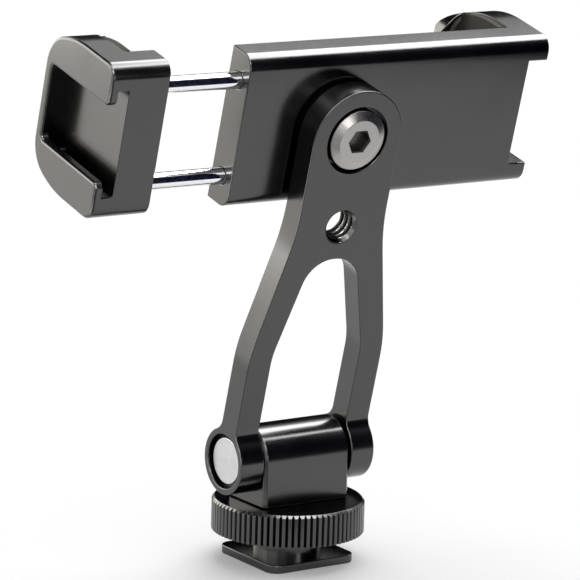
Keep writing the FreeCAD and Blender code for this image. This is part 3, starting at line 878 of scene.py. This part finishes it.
@dataclass
class PhoneClamp(Assembly):
    """Clamp body with its fixed jaw, the pivot's screw and discs, and the rubber pads.

    pivot_height and socket_start, where the screw's socket and its painted shade begin, are
    upright measures.
    """

    body_edge: EdgeBreak = EdgeBreak(0.22 * MILLIMETRE, steps=3)
    screw_edge: EdgeBreak = EdgeBreak(0.1 * MILLIMETRE, sharp=math.radians(22))
    lining_edge: EdgeBreak = EdgeBreak(0.15 * MILLIMETRE)
    pad_edge: EdgeBreak = EdgeBreak(0.3 * MILLIMETRE, steps=3)
    pivot_height: float = 62.5 * MILLIMETRE
    socket_start: float = -2.5 * MILLIMETRE

    def build(self, metal: bpy.types.Material, plastic: bpy.types.Material,
              jaw_rubber: bpy.types.Material, pad_rubber: bpy.types.Material,
              spring: bpy.types.Material) -> None:
        """Builds the clamp's pieces.

        Args:
            metal: The anodised finish.
            plastic: The friction disc's finish.
            jaw_rubber: Finish of the jaw's lining.
            pad_rubber: Finish of the pad behind the phone.
            spring: Finish of the spring washer.
        """
        self.dress(self.body_edge.copy("clamp_body", "clamp_plate"), metal, Slot.METAL)
        screw = self.screw_edge.copy("pivot_screw", "pivot_bolt")
        # The bolt's hex socket gets painted shade from socket_start inwards.
        steel = TurnedSteel("pivot_steel", self.place, (0.0, 0.0, self.pivot_height),
                            Spin.ALONG_Y, socket_start=self.socket_start,
                            dark=(0.38, 0.365, 0.355), light=(0.43, 0.415, 0.405),
                            depth=0.002 * MILLIMETRE, smooth=0.26, rough=0.32)
        self.dress(screw, steel.build(), Slot.STEEL)
        lining = self.lining_edge.copy("fixed_jaw_pad", "fixed_jaw_lining")
        self.dress(lining, jaw_rubber, Slot.JAW_RUBBER)
        self.dress(self.pad_edge.copy("front_pad", "back_rest_pad"), pad_rubber, Slot.PAD_RUBBER)
        self.dress_solid("spring_washer", spring)
        self.dress_solid("friction_disc", plastic)
        for node in ("bore_plug_upper", "bore_plug_lower"):
            self.dress_solid(node, metal)


@dataclass
class SlidingJaw(Assembly):
    """Sliding jaw with the shoe slot, its lining and its two guide rods."""

    jaw_edge: EdgeBreak = EdgeBreak(0.24 * MILLIMETRE, steps=3)
    lining_edge: EdgeBreak = EdgeBreak(0.15 * MILLIMETRE)
    rod_edge: EdgeBreak = EdgeBreak(0.1 * MILLIMETRE)

    def build(self, metal: bpy.types.Material, chrome: bpy.types.Material,
              jaw_rubber: bpy.types.Material, spring: bpy.types.Material) -> None:
        """Builds the jaw's pieces.

        Args:
            metal: The anodised finish.
            chrome: The rods' finish.
            jaw_rubber: Finish of the jaw's lining.
            spring: Finish of the stop rings.
        """
        self.dress(self.jaw_edge.copy("sliding_jaw", "slotted_jaw"), metal, Slot.METAL)
        lining = self.lining_edge.copy("sliding_jaw_pad", "sliding_jaw_lining")
        self.dress(lining, jaw_rubber, Slot.JAW_RUBBER)
        for end in ("upper", "lower"):
            rod = self.rod_edge.copy(f"guide_rod_{end}", f"rod_{end}")
            self.dress(rod, chrome, Slot.CHROME)
            self.dress_solid(f"rod_stop_{end}", spring)


def flat_sheet(name: str, corners: np.ndarray, material: bpy.types.Material) -> bpy.types.Object:
    """Makes a flat sheet of one face.

    Args:
        name: Name of the object.
        corners: Its four corners in order, in metres.
        material: Its material.

    Returns:
        The sheet.
    """
    mesh = bpy.data.meshes.new(name)
    mesh.from_pydata(corners.tolist(), [], [(0, 1, 2, 3)])
    mesh.materials.append(material)
    return add_object(name, mesh)


@dataclass(frozen=True)
class Card:
    """Card that only reflections see.

    centre is its middle and faces a point that it is turned to, size is its width and height,
    all in metres, and glow is the linear colour that it gives off.
    """

    name: str
    centre: Triple
    size: tuple[float, float]
    faces: Triple
    glow: Triple

    def build(self) -> None:
        """Builds the card: its corners are centre + turn * (+-width / 2, +-height / 2, 0)."""
        away = Vector(self.faces) - Vector(self.centre)
        turn = np.array(away.to_track_quat("-Z", "Y").to_matrix())
        corners = (SQUARE * self.size) @ turn[:, :2].T + np.array(self.centre)
        nodes = MaterialTree(self.name)
        shine = nodes.add("ShaderNodeEmission")
        shine.inputs["Color"].default_value = (*self.glow, 1)
        card = flat_sheet(self.name, corners, nodes.finish(shine.outputs["Emission"]))
        card.visible_camera = False
        card.visible_diffuse = False
        card.visible_shadow = False


BLACK = (0.004, 0.004, 0.006)
NIGHT_BLUE = (0.004, 0.004, 0.016)
DIM = (0.35, 0.35, 0.345)

CARDS = (
    Card("overhead_strip", centre=(0.48, 0.055, 0.50), size=(0.56, 0.47),
         faces=(0.48, 0.055, 0.0), glow=(11.0, 11.0, 11.0)),
    Card("overhead_front", centre=(0.02, -0.17, 0.50), size=(0.34, 0.25),
         faces=(0.02, -0.17, 0.0), glow=(8.0, 8.0, 8.0)),
    Card("corner_window", centre=(-0.187, -0.285, 0.27), size=(0.17, 0.17),
         faces=(0.0, 0.0, 0.05), glow=(10.0, 10.0, 10.0)),
    Card("left_strip", centre=(-0.13, 0.0, 0.02), size=(0.12, 0.03),
         faces=(0.0, 0.0, 0.02), glow=(4.0, 4.0, 3.9)),
    Card("left_back_low", centre=(-0.14, 0.205, 0.035), size=(0.4, 0.07),
         faces=(0.0, 0.0, 0.035), glow=(1.85, 1.82, 1.7)),
    Card("left_back_high", centre=(-0.14, 0.205, 0.165), size=(0.4, 0.19),
         faces=(0.0, 0.0, 0.165), glow=(5.0, 4.9, 4.6)),
    Card("front_window", centre=(0.035, -0.31, 0.075), size=(0.08, 0.06),
         faces=(0.0, 0.0, 0.08), glow=(6.0, 6.0, 6.0)),
    Card("dark_right", centre=(0.186, -0.102, 0.15), size=(0.35, 0.3),
         faces=(0.078, 0.054, 0.15), glow=NIGHT_BLUE),
    Card("dark_back", centre=(0.16, 0.20, 0.11), size=(0.26, 0.22),
         faces=(0.0, 0.0, 0.11), glow=BLACK),
    Card("dark_front_low", centre=(-0.13, -0.155, 0.002), size=(0.24, 0.24),
         faces=(-0.13, -0.155, 1.0), glow=DIM),
    Card("dark_front_high", centre=(-0.07, -0.33, 0.13), size=(0.32, 0.18),
         faces=(0.0, 0.0, 0.09), glow=DIM),
    Card("dark_above", centre=(-0.115, 0.17, 0.30), size=(0.37, 0.22),
         faces=(-0.115, 0.17, 0.0), glow=BLACK),
)


@dataclass(frozen=True)
class Studio:
    """Pale floor, soft lights and the camera of the photo's angle.

    Lengths are in metres, apart from lens and sensor, in millimetres. The sun stands in the
    direction sun_towards, gives sun_strength watts on a square metre that is turned to it and
    takes up the angle sun_spread. floor_lift is the floor's glow and shown the world's
    strength, both for background rays only, and fill is the world's strength for the others.
    """

    eye: Triple = (-0.35312, -0.51709, 0.17982)
    azimuth: float = math.radians(-34.26)
    elevation: float = math.radians(11.76)
    roll: float = math.radians(1.65)
    lens: float = 221.59
    sensor: float = 36.0
    near: float = 0.01
    far: float = 50.0
    sun_towards: Triple = (0.35, 0.25, 1.0)
    sun_strength: float = 1.55
    sun_spread: float = math.radians(50)
    floor_width: float = 12.0
    floor_level: float = -0.00005
    floor_colour: Triple = (0.86, 0.86, 0.86)
    floor_lift: float = 0.20
    fill: float = 0.5
    shown: float = 1.0

    def camera(self) -> None:
        """Places the camera.

        It looks along (-sin az cos el, cos az cos el, -sin el), with a slight roll.
        """
        level = math.cos(self.elevation)
        look = Vector((-math.sin(self.azimuth) * level, math.cos(self.azimuth) * level,
                       -math.sin(self.elevation)))
        right = look.cross(Vector((0, 0, 1))).normalized()
        up = right.cross(look)
        across = right * math.cos(self.roll) + up * math.sin(self.roll)
        upward = up * math.cos(self.roll) - right * math.sin(self.roll)
        turned = Matrix((across, upward, -look)).transposed().to_4x4()
        data = bpy.data.cameras.new("camera")
        data.lens = self.lens
        data.sensor_width = self.sensor
        data.clip_start = self.near
        data.clip_end = self.far
        camera = add_object("camera", data)
        camera.matrix_world = Matrix.Translation(self.eye) @ turned
        bpy.context.scene.camera = camera

    def floor(self) -> None:
        """Adds the pale floor, whose own glow makes it white in view and keeps the shadow."""
        nodes = MaterialTree("floor_white")
        matte = nodes.add("ShaderNodeBsdfDiffuse")
        matte.inputs["Color"].default_value = (*self.floor_colour, 1)
        strength = nodes.add("ShaderNodeMath", operation="MULTIPLY")
        nodes.link(nodes.background_rays(), strength.inputs[0])
        strength.inputs[1].default_value = self.floor_lift
        glow = nodes.add("ShaderNodeEmission")
        nodes.link(strength.outputs["Value"], glow.inputs["Strength"])
        both = nodes.add("ShaderNodeAddShader")
        nodes.link(matte.outputs["BSDF"], both.inputs[0])
        nodes.link(glow.outputs["Emission"], both.inputs[1])
        flat = SQUARE * self.floor_width
        corners = np.column_stack([flat, np.full(len(flat), self.floor_level)])
        floor = flat_sheet("floor", corners, nodes.finish(both.outputs["Shader"]))

    def world(self) -> None:
        """Lights the scene evenly from all round and shows white behind it."""
        world = bpy.data.worlds.new("studio")
        world.use_nodes = True
        nodes = NodeTree(world.node_tree)
        ground = nodes.add("ShaderNodeBackground")
        ground.inputs["Color"].default_value = (1, 1, 1, 1)
        strength = nodes.add("ShaderNodeMapRange")
        strength.inputs["To Min"].default_value = self.fill
        strength.inputs["To Max"].default_value = self.shown
        nodes.link(nodes.background_rays(), strength.inputs["Value"])
        nodes.link(strength.outputs["Result"], ground.inputs["Strength"])
        output = nodes.add("ShaderNodeOutputWorld")
        nodes.link(ground.outputs["Background"], output.inputs["Surface"])
        bpy.context.scene.world = world

    def daylight(self) -> None:
        """Adds an even soft light from one side of the sky, whose disc no metal shows."""
        data = bpy.data.lights.new("sky_light", "SUN")
        data.energy = self.sun_strength
        data.angle = self.sun_spread
        light = add_object("sky_light", data)
        light.rotation_euler = (-Vector(self.sun_towards)).to_track_quat("-Z", "Y").to_euler()
        light.visible_glossy = False

    def build(self) -> None:
        """Builds the studio."""
        self.camera()
        self.floor()
        self.world()
        self.daylight()
        for card in CARDS:
            card.build()
        bpy.context.scene.view_settings.view_transform = "Standard"


def main() -> None:
    """Builds every sub-assembly in order, dresses the solids and sets up the studio."""
    logging.basicConfig(level=logging.INFO, format="%(name)s %(message)s")
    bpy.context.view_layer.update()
    upright_metal = BlastedMetal().build()
    leaning_metal = BlastedMetal(name="anodised_metal_leaning").build(LEANING)
    chrome = PolishedRod().build()
    plastic = SlickPlastic().build()
    spring = RolledSpringSteel().build()
    olive = MouldedRubber("jaw_rubber", dark=(0.046, 0.043, 0.034),
                          light=(0.066, 0.062, 0.05)).build()
    black = MouldedRubber("pad_rubber", dark=(0.014, 0.014, 0.014), light=(0.03, 0.03, 0.03),
                          pebble=0.9 * MILLIMETRE, depth=0.08 * MILLIMETRE).build()
    base = ShoeBase(UPRIGHT, Carrier.BASE)
    base.build(upright_metal)
    wheel = LockingWheel(UPRIGHT, Carrier.WHEEL)
    wheel.build(upright_metal)
    arm = TiltingArm(LEANING, Carrier.ARM)
    arm.build(leaning_metal, plastic)
    clamp = PhoneClamp(LEANING, Carrier.CLAMP)
    clamp.build(leaning_metal, plastic, olive, black, spring)
    jaw = SlidingJaw(LEANING, Carrier.JAW)
    jaw.build(leaning_metal, chrome, olive, spring)
    for part in (base, wheel, arm, clamp, jaw):
        part.report()
    Studio().build()


if __name__ == "__main__":
    main()
